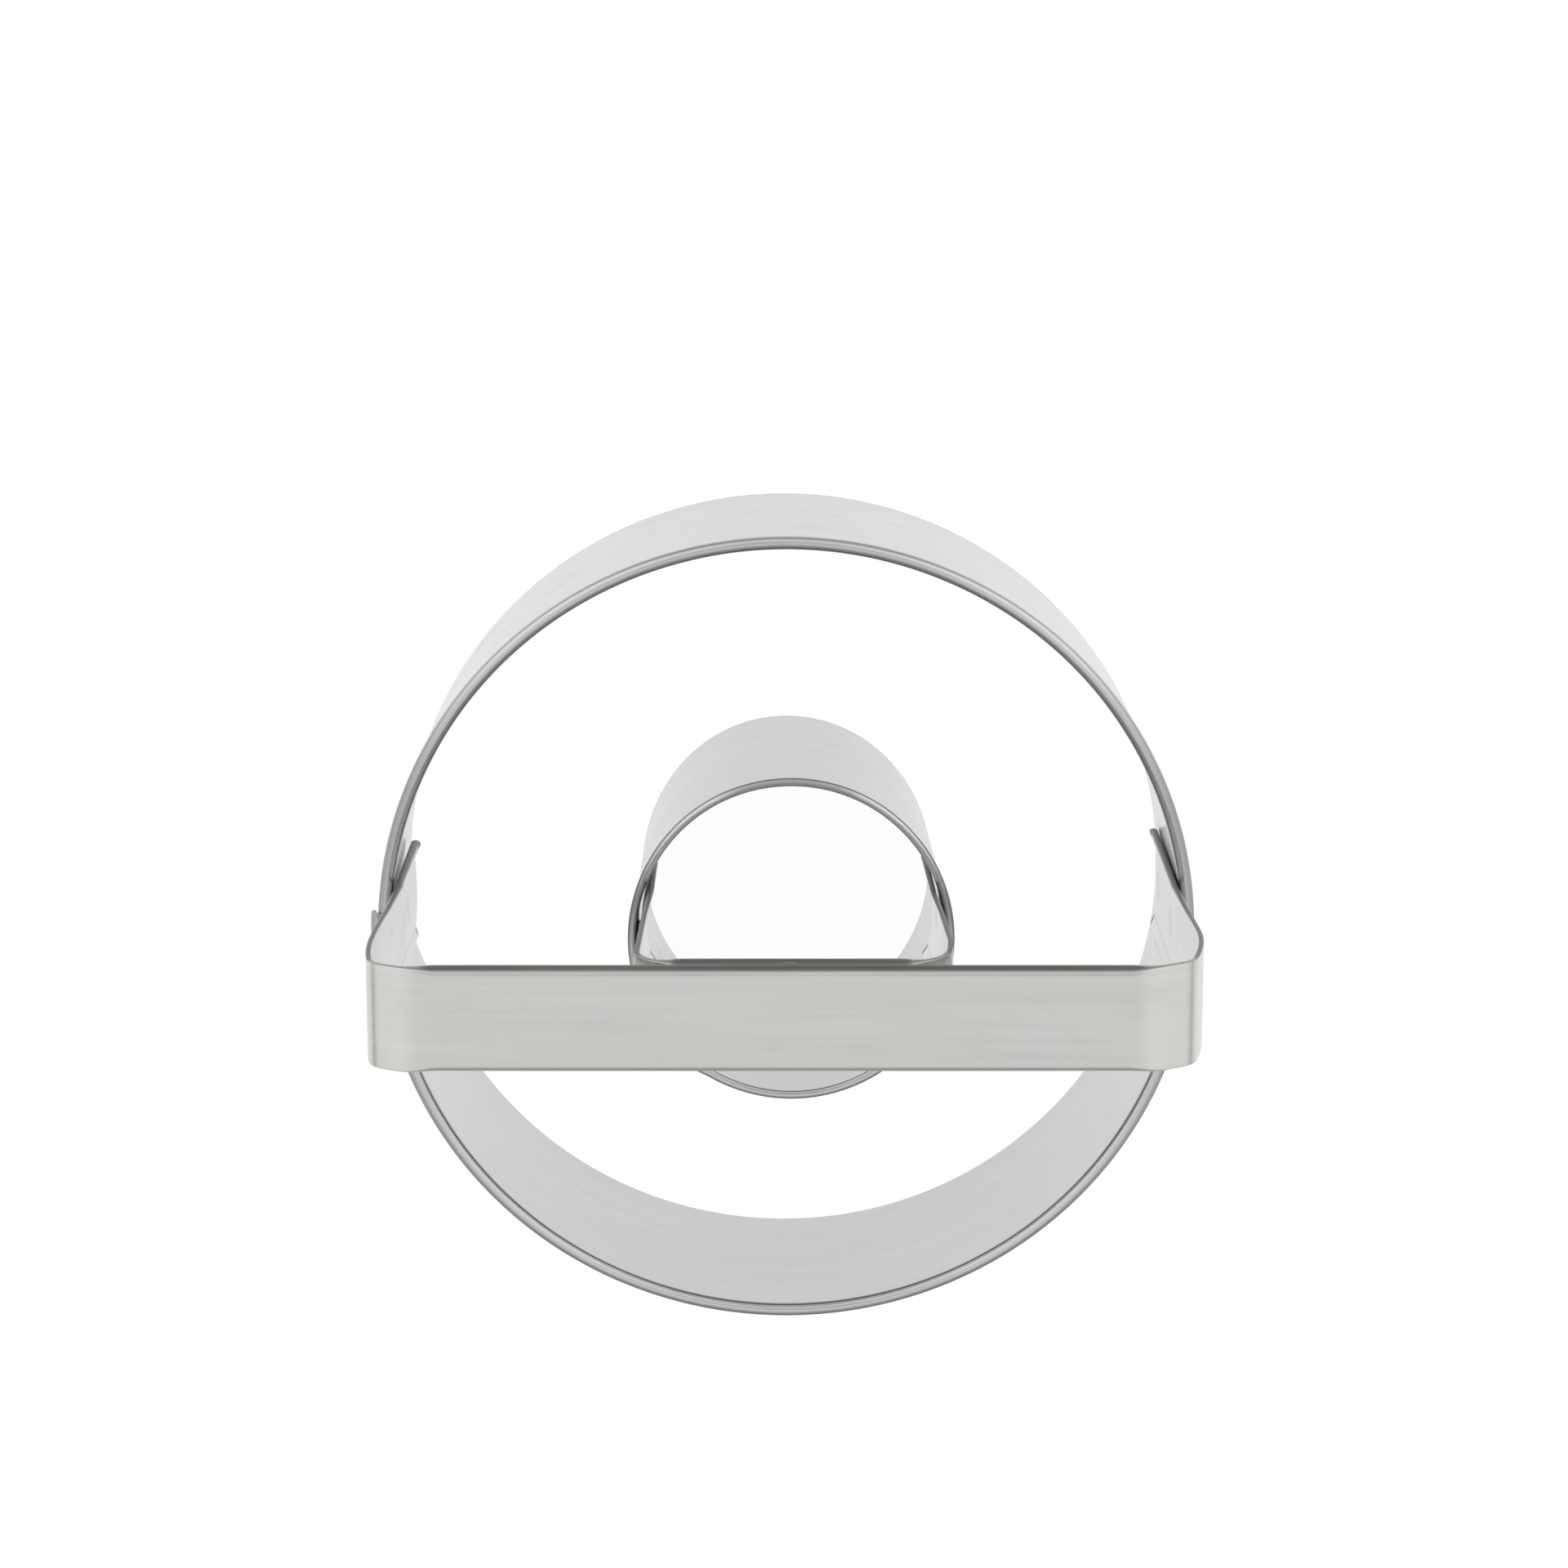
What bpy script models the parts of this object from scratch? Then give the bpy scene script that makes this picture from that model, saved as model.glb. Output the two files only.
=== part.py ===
"""Doughnut cutter: two concentric sheet-metal rings, a strap handle and the strap that carries the centre ring.

The cutter stands on its cutting edges, handle up. Z = 0 is the plane of both cutting edges, the Z axis is the
axis of the large ring and the handle runs along X. Dimensions below are in millimetres.
"""
import math

import bmesh
import bpy

# ---- driving dimensions (mm) -------------------------------------------------------------------------------
# large ring
OUTER_DIAMETER = 88.90         # over the rolled rim
OUTER_HEIGHT = 27.40           # cutting edge to top of the rolled rim
OUTER_ROLL = 1.48              # outside diameter of the rolled rim
RING_SHEET = 0.45              # sheet thickness of the large ring
OUTER_FACETS = 96
OUTER_OFFSET_Y = -0.20         # the large ring's rim sits this far off the handle's centre line
OUTER_LEAN = (-0.28, 0.20)     # how far the cutting edge has moved off the rim's axis, x and y
OUTER_RIM = (0.004, 0.0)       # how much the rim is stretched from round along X and Y
OUTER_EDGE = (-0.007, 0.0)     # the same at the cutting edge

# centre ring
HOLE_INNER_RADIUS = 17.10
HOLE_HEIGHT = 28.90
HOLE_ROLL = 0.95
HOLE_SHEET = 0.40
HOLE_OFFSET_X = 0.55           # the centre ring's rim sits this far off the large ring's axis
HOLE_OFFSET_Y = -0.30
HOLE_FACETS = 60
HOLE_LEAN = (-0.45, 0.01)
HOLE_RIM = (-0.013, 0.012)
HOLE_EDGE = (-0.056, 0.026)

# lap seams of the rings
LAP_GAP = 0.30                 # room between the two layers
CUT_GAP = 0.12                 # room between the two ends of the rim roll
OUTER_LAP_START = 176.70       # degrees from +X, the end of the outer layer
OUTER_LAP_END = 187.00         # end of the inner layer
HOLE_LAP_START = 204.50
HOLE_LAP_END = 221.00

# straps
STRAP_SHEET = 0.28
STRAP_HALF_WIDTH = 5.70        # half the strap's width, over its rolled edges
BAR_ROLL = 2.00                # rolled edge on the straight bar
LEG_ROLL = 0.76                # thickest hem, where the rolled edge is pressed flat on a leg
BEND_ROLL = 0.60               # hem in the bends
LOW_ROLL = 0.60                # hem of the legs on their -Y side
BAR_LEAF = 0.50                # straight part after the roll on the bar
LEG_LEAF = 1.10                # the same in the hem
WALL_GAP = 0.35                # room between a leg and the wall it is welded to
STACK_GAP = 0.25               # room between the two bars

TOTAL_HEIGHT = 58.40           # cutting edge to the top of the handle
TILT_FROM = 26.5               # height where a tilted leg starts leaving the wall

# Sides of the straps, -X first. leg: depth below the rim; tilt: how far the leg's end stands off the wall; cup: share
# of the wall's curve that the section follows at the leg's end and at the rim; flat: how far up the lean it has gone;
# roll: hem at the leg's end and at the rim; shoulder: where the leaning part is widest, x and z; corner: x where the
# bend starts and the degrees it leans in by then; bend: tight radius, degrees of turn where it ends, straight run,
# easy radius; opening: x where the rolled edge starts opening and where it is open.
HANDLE = ({"leg": 17.20, "tilt": 0.40, "cup": (0.20, 0.70), "flat": 0.60, "roll": (1.10, 0.90),
           "shoulder": (43.74, 46.0), "corner": (43.50, 8.0), "bend": (3.00, 60.0, 0.90, 7.50), "opening": (40.2, 35.8)},
          {"leg": 22.00, "tilt": 0.00, "cup": (0.35, 0.45), "flat": 0.60, "roll": (0.92, 0.78),
           "shoulder": (43.78, 44.5), "corner": (42.78, 14.0), "bend": (3.20, 60.0, 2.20, 7.50), "opening": (39.6, 35.2)})
BRACKET = ({"leg": 10.10, "tilt": 0.00, "cup": (1.05, 1.00), "flat": 1.00, "roll": (0.66, 0.66), "shoulder": (16.45, 48.5),
            "corner": (16.38, 2.0), "bend": (4.00, 75.0, 0.40, 4.00), "opening": (14.2, 11.2)},
           {"leg": 12.60, "tilt": 0.00, "cup": (1.00, 0.90), "flat": 0.85, "roll": (0.62, 0.62), "shoulder": (16.95, 47.0),
            "corner": (16.75, 6.0), "bend": (5.00, 72.0, 0.40, 4.00), "opening": (14.2, 11.2)})

# welds
SPOT_RADIUS_HANDLE = 1.30
SPOT_RADIUS_BRACKET = 0.66
SPOT_RADIUS_LAP = 1.20
SPOT_RADIUS_HOLE_LAP = 0.84
SPOT_CLEARANCE = 0.05
TACK_LENGTH = 2.60
TACK_CLEARANCE = 0.06

MM = 0.001
OUTER_RADIUS = OUTER_DIAMETER / 2 - OUTER_ROLL          # inside of the large ring's wall


# ---- scene helpers -----------------------------------------------------------------------------------------
def clear_scene():
    for ob in list(bpy.data.objects):
        bpy.data.objects.remove(ob, do_unlink=True)


def steel(name, colour, roughness):
    mat = bpy.data.materials.new(name)
    mat.use_nodes = True
    bsdf = mat.node_tree.nodes["Principled BSDF"]
    bsdf.inputs["Base Color"].default_value = (colour[0], colour[1], colour[2], 1.0)
    bsdf.inputs["Metallic"].default_value = 1.0
    bsdf.inputs["Roughness"].default_value = roughness
    return mat


def make_object(name, points, faces, material, seat, sharp_deg=35.0):
    """Closed solid from points in mm and faces, set on its seat; normals are turned outward."""
    mesh = bpy.data.meshes.new(name)
    bm = bmesh.new()
    verts = [bm.verts.new([c * MM for c in seat.settle(p)]) for p in points]
    for f in faces:
        bm.faces.new([verts[i] for i in f])
    bmesh.ops.recalc_face_normals(bm, faces=bm.faces[:])
    if bm.calc_volume(signed=True) < 0:
        bmesh.ops.reverse_faces(bm, faces=bm.faces[:])
    bm.to_mesh(mesh)
    bm.free()
    mesh.shade_smooth()
    mesh.set_sharp_from_angle(angle=math.radians(sharp_deg))
    ob = bpy.data.objects.new(name, mesh)
    ob.data.materials.append(material)
    bpy.context.scene.collection.objects.link(ob)
    return ob


def smoothstep(a, b, x):
    t = min(1.0, max(0.0, (x - a) / (b - a)))
    return t * t * (3 - 2 * t)


class Seat:
    """Where a ring and all that is welded to its wall sit.

    The rim is centred on (x, y) and a little oval. Towards the cutting edge the wall goes evenly off that axis and
    more oval, and the parts welded to it go with it; above the rim a strap is back in true within 10 mm.
    """

    def __init__(self, height=1.0, x=0.0, y=0.0, lean=(0.0, 0.0), rim=(0.0, 0.0), edge=(0.0, 0.0)):
        self.height, self.x, self.y, self.lean, self.rim, self.edge = height, x, y, lean, rim, edge

    def settle(self, p):
        t = max(0.0, (self.height - p[2]) / self.height)
        u = 1.0 - smoothstep(self.height, self.height + 10.0, p[2])
        out = []
        for i, mid in enumerate((self.x, self.y)):
            grow = self.rim[i] * u + (self.edge[i] - self.rim[i]) * t
            out.append(mid + (p[i] - mid) * (1.0 + grow) + self.lean[i] * t)
        return (out[0], out[1], p[2])


OUTER_SEAT = Seat(OUTER_HEIGHT, 0.0, OUTER_OFFSET_Y, OUTER_LEAN, OUTER_RIM, OUTER_EDGE)
HOLE_SEAT = Seat(HOLE_HEIGHT, HOLE_OFFSET_X, HOLE_OFFSET_Y, HOLE_LEAN, HOLE_RIM, HOLE_EDGE)


# ---- rings -------------------------------------------------------------------------------------------------
def rolled_profile(height, roll, sheet, outer_steps, inner_steps, lip_deg=-55.0):
    """Wall and rolled rim as (offset from the wall's inside, z), and the span of points that is the roll."""
    r = roll / 2
    zc = height - r
    pts = [(0.0, 0.0), (0.0, zc)]
    for i in range(1, outer_steps + 1):
        a = math.radians(180 + (lip_deg - 180) * i / outer_steps)
        pts.append((r + r * math.cos(a), zc + r * math.sin(a)))
    for i in range(inner_steps + 1):
        a = math.radians(lip_deg + (180 - lip_deg) * i / inner_steps)
        pts.append((r + (r - sheet) * math.cos(a), zc + (r - sheet) * math.sin(a)))
    pts.append((sheet, 0.0))
    return pts, 1, len(pts) - 2


def lapped_ring(name, radius, height, roll, sheet, facets, lap_start, lap_end, seat, steps, material):
    """A strip rolled into a ring: its outer end laps over its inner end, whose rim roll is cut away."""
    profile, first, last = rolled_profile(height, roll, sheet, steps[0], steps[1])
    count = len(profile)
    pitch = 360.0 / facets
    lap_offset = sheet + LAP_GAP
    flat_to = lap_end + 2.0
    blend_to = flat_to + 2.9 * pitch

    def offset(angle):
        return lap_offset * (1.0 - smoothstep(flat_to, blend_to, angle))

    def place(angle, off, z):
        a = math.radians(angle)
        return (seat.x + (radius + off) * math.cos(a), seat.y + (radius + off) * math.sin(a), z)

    main_end = lap_start + 360.0 - math.degrees(CUT_GAP / radius)
    angles = [lap_start]
    k = math.floor((lap_start - pitch / 2) / pitch) + 1
    while pitch / 2 + k * pitch < main_end - 0.2:
        a = pitch / 2 + k * pitch
        if a > lap_start + 0.2:
            angles.append(a)
        k += 1
    angles.append(main_end)

    points, faces = [], []
    for angle in angles:
        shift = offset(angle)
        points += [place(angle, shift + p[0], p[1]) for p in profile]
    for s in range(len(angles) - 1):
        for i in range(count):
            j = (i + 1) % count
            a, b = s * count, (s + 1) * count
            faces.append((a + i, a + j, b + j, b + i))
    faces.append(tuple(range(count)))                                    # end of the outer layer
    end = (len(angles) - 1) * count
    faces.append(tuple(end + i for i in range(first, last + 1)))         # cut end of the rim roll

    # inner layer under the lap: the wall alone, as high as the start of the roll
    previous = (end, end + first, end + last, end + count - 1)
    tongue = []
    while pitch / 2 + k * pitch < lap_end + 360.0 - 0.2:
        if pitch / 2 + k * pitch > main_end + 0.2:
            tongue.append(pitch / 2 + k * pitch)
        k += 1
    tongue.append(lap_end + 360.0)
    z_top = profile[first][1]
    for angle in tongue:
        base = len(points)
        points += [place(angle, 0.0, 0.0), place(angle, 0.0, z_top), place(angle, sheet, z_top),
                   place(angle, sheet, 0.0)]
        current = (base, base + 1, base + 2, base + 3)
        for i in range(4):
            j = (i + 1) % 4
            faces.append((previous[i], previous[j], current[j], current[i]))
        previous = current
    faces.append(previous)
    return make_object(name, points, faces, material, seat)


# ---- straps ------------------------------------------------------------------------------------------------
def strap_section(roll, low, web, sheet=STRAP_SHEET, half=STRAP_HALF_WIDTH, outer_steps=6, inner_steps=4):
    """Strap section as (depth from the outer face, y); both long edges are rolled to the inner side."""

    def edge(size):
        r = size / 2
        wide = r * (1.0 - 0.4 * min(1.0, (BAR_ROLL - size) / (BAR_ROLL - LEG_ROLL)))     # a pressed hem is flatter
        hollow = max(wide - sheet, 0.02)
        yc = half - wide
        leaf = LEG_LEAF + (BAR_LEAF - LEG_LEAF) * max(0.0, size - LEG_ROLL) / (BAR_ROLL - LEG_ROLL)
        points = []
        for i in range(outer_steps + 1):
            a = math.pi * i / outer_steps
            points.append((r - r * math.cos(a), yc + wide * math.sin(a)))
        points.append((2 * r, yc - leaf))
        points.append((2 * r - sheet, yc - leaf))
        for i in range(inner_steps + 1):
            a = math.pi * (1 - i / inner_steps)
            points.append((r - (r - sheet) * math.cos(a), yc + hollow * math.sin(a)))
        return points

    face = [(0.0, -2.9), (0.0, -web), (0.0, web), (0.0, 2.9)]
    back = [(sheet, 2.9), (sheet, web), (sheet, -web), (sheet, -2.9)]
    return face + edge(roll) + back + [(d, -y) for d, y in reversed(edge(low))]


def bend_path(x0, lean_in, top, bend):
    """Outer face of a bend, leg side first, as (x, z, degrees of the outward normal from +X)."""
    tight, turn, run, easy = bend
    a, first = math.radians(turn), math.radians(lean_in)
    z0 = top - tight * (math.sin(a) - math.sin(first)) - run * math.cos(a) - easy * (1.0 - math.sin(a))
    rows = []
    steps = 5
    for i in range(steps + 1):
        b = first + (a - first) * i / steps
        rows.append((x0 - tight * (math.cos(first) - math.cos(b)), z0 + tight * (math.sin(b) - math.sin(first)),
                     math.degrees(b)))
    x, z = rows[-1][0], rows[-1][1]
    rows.append((x - run * math.sin(a), z + run * math.cos(a), turn))
    x, z = rows[-1][0], rows[-1][1]
    steps = 3
    for i in range(1, steps + 1):
        b = a + (math.pi / 2 - a) * i / steps
        rows.append((x - easy * (math.cos(a) - math.cos(b)), z + easy * (math.sin(b) - math.sin(a)), math.degrees(b)))
    return rows


def lean_path(start, shoulder, corner, slope_in, steps):
    """From the rim straight to the shoulder, then curving in to the corner, as rows of x, z and slope dx/dz."""
    slope = (shoulder[0] - start[0]) / (shoulder[1] - start[1])
    rows = [(start[0] + (shoulder[0] - start[0]) * i / steps[0], start[1] + (shoulder[1] - start[1]) * i / steps[0],
             slope) for i in range(1, steps[0] + 1)]
    rise = corner[1] - shoulder[1]
    for i in range(1, steps[1]):
        t = i / steps[1]
        h = (2 * t ** 3 - 3 * t ** 2 + 1, t ** 3 - 2 * t ** 2 + t, -2 * t ** 3 + 3 * t ** 2, t ** 3 - t ** 2)
        d = (6 * t ** 2 - 6 * t, 3 * t ** 2 - 4 * t + 1, -6 * t ** 2 + 6 * t, 3 * t ** 2 - 2 * t)
        c = (shoulder[0], slope * rise, corner[0], slope_in * rise)
        rows.append((sum(u * v for u, v in zip(h, c)), shoulder[1] + rise * t,
                     sum(u * v for u, v in zip(d, c)) / rise))
    return rows


def tilt_at(part, rim, z):
    """How far a leg's outer face stands further in than WALL_GAP at height z."""
    z_end = rim - part["leg"]
    return part["tilt"] * max(0.0, TILT_FROM - z) / (TILT_FROM - z_end)


def strap_stations(spec, top, rim, wall_radius):
    """Outer-face centre line from the left leg's end to the right one's.

    Each station is (x, z, inward x, inward z, roll, share of the wall's curve that the section follows).
    """
    inside = wall_radius - WALL_GAP

    def side(sign, part):
        opening, cup, roll = part["opening"], part["cup"], part["roll"]
        path = bend_path(part["corner"][0], part["corner"][1], top, part["bend"])
        corner = path[0]
        z_end, z_lean = rim - part["leg"], rim + 0.6
        heights = [z_end, (z_end + z_lean) / 2, z_lean]
        if part["tilt"] > 0.0:
            heights = [z_end, (z_end + TILT_FROM) / 2, TILT_FROM, z_lean]
        rows = []
        for z in heights:
            t = (z - z_end) / (z_lean - z_end)
            rows.append((sign * (inside - tilt_at(part, rim, z)), z, -sign, 0.0, roll[0] + (roll[1] - roll[0]) * t,
                         cup[0] + (cup[1] - cup[0]) * t))
        leaning = lean_path((inside, z_lean), part["shoulder"], corner, -math.tan(math.radians(part["corner"][1])),
                            (5, 3))
        for x, z, slope in leaning:
            t = (z - z_lean) / (corner[1] - z_lean)
            a = math.atan(slope)
            rows.append((sign * x, z, -sign * math.cos(a), math.sin(a),
                         roll[1] + (BEND_ROLL - roll[1]) * min(1.0, 2.0 * t), cup[1] * max(0.0, 1.0 - t / part["flat"])))
        for x, z, deg in path:
            a = math.radians(deg)
            size = BEND_ROLL + (BAR_ROLL - BEND_ROLL) * smoothstep(-opening[0], -opening[1], -x)
            rows.append((sign * x, z, -sign * math.cos(a), -math.sin(a), size, 0.0))
        x = path[-1][0]
        while x > opening[1] + 0.5:
            x = max(opening[1], x - 1.5)
            size = BEND_ROLL + (BAR_ROLL - BEND_ROLL) * smoothstep(-opening[0], -opening[1], -x)
            rows.append((sign * x, top, 0.0, -1.0, size, 0.0))
        return rows, x

    left, first = side(-1.0, spec[0])
    right, last = side(1.0, spec[1])
    bar = [(-first + (first + last) * f, top, 0.0, -1.0, BAR_ROLL, 0.0) for f in (0.25, 0.5, 0.75)]
    return left + bar + right[::-1]


def strap(name, stations, wall_radius, web, seat, material):
    """Sweep the section along the stations; where it follows the wall, it curves about the wall's own axis."""
    follow = wall_radius - WALL_GAP
    points, faces = [], []
    count = 0
    for x, z, nx, nz, roll, share in stations:
        low = roll if roll > 1.4 or abs(nz) > 0.3 else min(roll, LOW_ROLL)
        section = strap_section(roll, low, web)
        count = len(section)
        for d, y in section:
            off = y - seat.y
            depth = d + share * (follow - math.sqrt(follow * follow - off * off))
            points.append((seat.x + x + nx * depth, y, z + nz * depth))
    for s in range(len(stations) - 1):
        for i in range(count):
            j = (i + 1) % count
            a, b = s * count, (s + 1) * count
            faces.append((a + i, a + j, b + j, b + i))
    faces.append(tuple(range(count)))
    faces.append(tuple((len(stations) - 1) * count + i for i in range(count)))
    return make_object(name, points, faces, material, seat)


# ---- welds -------------------------------------------------------------------------------------------------
def disc(name, origin, axis_deg, near, far, radius, z, seat, material, sides=12):
    """Flat round nugget whose axis is radial: from distance `near` to `far` of the point `origin` = (x, y)."""
    a = math.radians(axis_deg)
    points, faces = [], []
    for dist in (near, far):
        for i in range(sides):
            b = 2 * math.pi * (i + 0.5) / sides
            u, v = radius * math.cos(b), radius * math.sin(b)
            points.append((origin[0] + dist * math.cos(a) - u * math.sin(a),
                           origin[1] + dist * math.sin(a) + u * math.cos(a), z + v))
    for i in range(sides):
        j = (i + 1) % sides
        faces.append((i, j, sides + j, sides + i))
    faces.append(tuple(range(sides)))
    faces.append(tuple(range(sides, 2 * sides)))
    return make_object(name, points, faces, material, seat)


def wall_nugget(name, side_deg, wall_radius, facets, radius, y, z, seat, material, tilt=0.0):
    """Nugget between a leg's flat middle strip and the flat facet of the wall behind it."""
    near = wall_radius - WALL_GAP - tilt + SPOT_CLEARANCE
    far = wall_radius * math.cos(math.pi / facets) - SPOT_CLEARANCE
    return disc(name, (seat.x, y), side_deg, near, far, radius, z, seat, material)


def lap_nugget(name, radius, sheet, facets, facet_deg, spot, z, seat, material):
    """Nugget between the two layers of a lap seam, on one flat facet."""
    c = math.cos(math.pi / facets)
    near = (radius + sheet) * c + SPOT_CLEARANCE
    far = (radius + sheet + LAP_GAP) * c - SPOT_CLEARANCE
    return disc(name, (seat.x, seat.y), facet_deg, near, far, spot, z, seat, material)


def edge_tack(name, sign, top, material, steps=5):
    """Small tack in the groove between the rolled edges of the two bars."""
    r = BAR_ROLL / 2
    yc = STRAP_HALF_WIDTH - r
    z_mid = top - BAR_ROLL - STACK_GAP / 2
    levels = [0.42, 0.55, 0.68, 0.80]
    profile = []
    for h in levels:
        half = STACK_GAP / 2 + r - math.sqrt(r * r - h * h) - TACK_CLEARANCE
        profile.append((half, yc + h))
    crown = (0.0, yc + levels[-1] + 0.10)
    ring = [(d, y) for d, y in profile] + [crown] + [(-d, y) for d, y in reversed(profile)]
    count = len(ring)
    points, faces = [], []
    shrink = [0.35, 0.8, 1.0, 0.8, 0.35]
    y_low = profile[0][1]
    for s in range(steps):
        x = TACK_LENGTH * (s / (steps - 1) - 0.5)
        k = shrink[s]
        for d, y in ring:
            yy = y_low + (y - y_low) * k
            h = yy - yc
            limit = STACK_GAP / 2 + r - math.sqrt(r * r - h * h) - TACK_CLEARANCE
            points.append((x, sign * yy, z_mid + max(-limit, min(limit, d))))
    for s in range(steps - 1):
        for i in range(count):
            j = (i + 1) % count
            a, b = s * count, (s + 1) * count
            faces.append((a + i, a + j, b + j, b + i))
    faces.append(tuple(range(count)))
    faces.append(tuple((steps - 1) * count + i for i in range(count)))
    return make_object(name, points, faces, material, Seat())


# ---- assembly ----------------------------------------------------------------------------------------------
def build():
    clear_scene()

    lapped_ring("outer_ring", OUTER_RADIUS, OUTER_HEIGHT, OUTER_ROLL, RING_SHEET, OUTER_FACETS,
                OUTER_LAP_START, OUTER_LAP_END, OUTER_SEAT, (7, 5),
                steel("outer_ring_steel", (0.62, 0.63, 0.65), 0.32))
    lapped_ring("centre_ring", HOLE_INNER_RADIUS, HOLE_HEIGHT, HOLE_ROLL, HOLE_SHEET, HOLE_FACETS,
                HOLE_LAP_START, HOLE_LAP_END, HOLE_SEAT, (7, 4),
                steel("centre_ring_steel", (0.60, 0.61, 0.62), 0.34))

    strap("handle_strap", strap_stations(HANDLE, TOTAL_HEIGHT, OUTER_HEIGHT, OUTER_RADIUS), OUTER_RADIUS, 1.50,
          OUTER_SEAT, steel("handle_strap_steel", (0.55, 0.55, 0.53), 0.38))
    strap("centre_ring_strap",
          strap_stations(BRACKET, TOTAL_HEIGHT - BAR_ROLL - STACK_GAP, HOLE_HEIGHT, HOLE_INNER_RADIUS),
          HOLE_INNER_RADIUS, 0.88, HOLE_SEAT, steel("centre_ring_strap_steel", (0.54, 0.54, 0.53), 0.38))

    for side, deg, part, drop in (("left", 180.0, HANDLE[0], (5.0, 9.0)), ("right", 0.0, HANDLE[1], (5.0, 18.0))):
        for place, below in zip(("upper", "lower"), drop):
            name = "handle_spot_weld_%s_%s" % (side, place)
            z = OUTER_HEIGHT - below
            wall_nugget(name, deg, OUTER_RADIUS, OUTER_FACETS, SPOT_RADIUS_HANDLE, OUTER_OFFSET_Y / 2, z, OUTER_SEAT,
                        steel(name + "_steel", (0.42, 0.42, 0.43), 0.45),
                        tilt_at(part, OUTER_HEIGHT, z + SPOT_RADIUS_HANDLE))
    for side, deg, part in (("left", 180.0, BRACKET[0]), ("right", 0.0, BRACKET[1])):
        name = "centre_ring_spot_weld_%s" % side
        wall_nugget(name, deg, HOLE_INNER_RADIUS, HOLE_FACETS, SPOT_RADIUS_BRACKET, HOLE_OFFSET_Y / 2,
                    HOLE_HEIGHT - part["leg"] / 2, HOLE_SEAT, steel(name + "_steel", (0.42, 0.42, 0.43), 0.45))
    for sign, place in ((1.0, "back"), (-1.0, "front")):
        name = "bar_tack_weld_%s" % place
        edge_tack(name, sign, TOTAL_HEIGHT, steel(name + "_steel", (0.50, 0.50, 0.51), 0.42))
    for place, z in (("upper", 20.0), ("lower", 6.5)):
        name = "outer_ring_seam_weld_%s" % place
        lap_nugget(name, OUTER_RADIUS, RING_SHEET, OUTER_FACETS, 183.75, SPOT_RADIUS_LAP, z, OUTER_SEAT,
                   steel(name + "_steel", (0.42, 0.42, 0.43), 0.45))
    for place, z in (("upper", 21.0), ("lower", 7.0)):
        name = "centre_ring_seam_weld_%s" % place
        lap_nugget(name, HOLE_INNER_RADIUS, HOLE_SHEET, HOLE_FACETS, 210.0, SPOT_RADIUS_HOLE_LAP, z, HOLE_SEAT,
                   steel(name + "_steel", (0.42, 0.42, 0.43), 0.45))


build()
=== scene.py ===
import math

import bpy
import numpy as np
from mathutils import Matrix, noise


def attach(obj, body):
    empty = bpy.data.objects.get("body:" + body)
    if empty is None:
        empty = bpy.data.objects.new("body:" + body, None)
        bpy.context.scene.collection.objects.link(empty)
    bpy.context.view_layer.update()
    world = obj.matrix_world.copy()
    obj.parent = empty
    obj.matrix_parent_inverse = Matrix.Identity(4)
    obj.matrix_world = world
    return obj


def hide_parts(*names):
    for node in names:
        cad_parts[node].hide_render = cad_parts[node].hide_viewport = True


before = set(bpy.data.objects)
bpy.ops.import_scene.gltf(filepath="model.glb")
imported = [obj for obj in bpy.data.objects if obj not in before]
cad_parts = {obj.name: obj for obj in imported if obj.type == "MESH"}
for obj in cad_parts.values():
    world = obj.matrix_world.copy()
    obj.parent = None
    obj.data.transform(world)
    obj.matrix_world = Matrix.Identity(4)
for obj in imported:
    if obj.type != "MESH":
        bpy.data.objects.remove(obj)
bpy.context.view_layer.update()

# ---- dimensions of the construction, in millimetres ---------------------------------------------------------
OUTER_ROLL, OUTER_HEIGHT, RING_SHEET = 1.48, 27.40, 0.45
OUTER_RADIUS = 88.90 / 2 - OUTER_ROLL
HOLE_ROLL, HOLE_HEIGHT, HOLE_SHEET, HOLE_RADIUS = 0.95, 28.90, 0.40, 17.10
LAP_GAP = 0.30
OUTER_LAP = (176.70, 187.00)
HOLE_LAP = (204.50, 221.00)
CUT_GAP = 0.03
STRAP_SHEET, STRAP_HALF = 0.28, 5.70
BAR_ROLL, LEG_ROLL, BEND_ROLL = 2.00, 0.76, 0.60
LOW_ROLL = 0.60                # hem of the legs on their -Y side
BAR_LEAF, LEG_LEAF = 0.50, 1.10
WALL_GAP, STACK_GAP = 0.35, 0.25
TOP = 58.40
# sides of the straps, -X first. leg: depth below the rim; tilt: how far the leg's end stands off the wall; cup: share
# of the wall's curve that the section follows at the leg's end and at the rim; flat: how far up it has gone; roll: hem
# at the leg's end and at the rim; shoulder: where the leaning part is widest, x and z; corner: x where the bend starts
# and degrees that it leans in by then; bend: tight radius, degrees of turn where it ends, straight run, easy radius;
# opening: x where the rolled edge starts opening and where it is open.
HANDLE = ({"leg": 17.20, "tilt": 0.85, "cup": (-0.85, 0.70), "flat": 0.60, "roll": (1.10, 0.90),
           "shoulder": (43.74, 46.0), "corner": (43.50, 8.0), "bend": (3.00, 60.0, 0.90, 7.50), "opening": (40.2, 35.8)},
          {"leg": 22.00, "tilt": 0.00, "cup": (0.35, 0.45), "flat": 0.60, "roll": (0.92, 0.78),
           "shoulder": (43.78, 44.5), "corner": (42.78, 14.0), "bend": (3.20, 60.0, 2.20, 7.50), "opening": (39.6, 35.2)})
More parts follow.
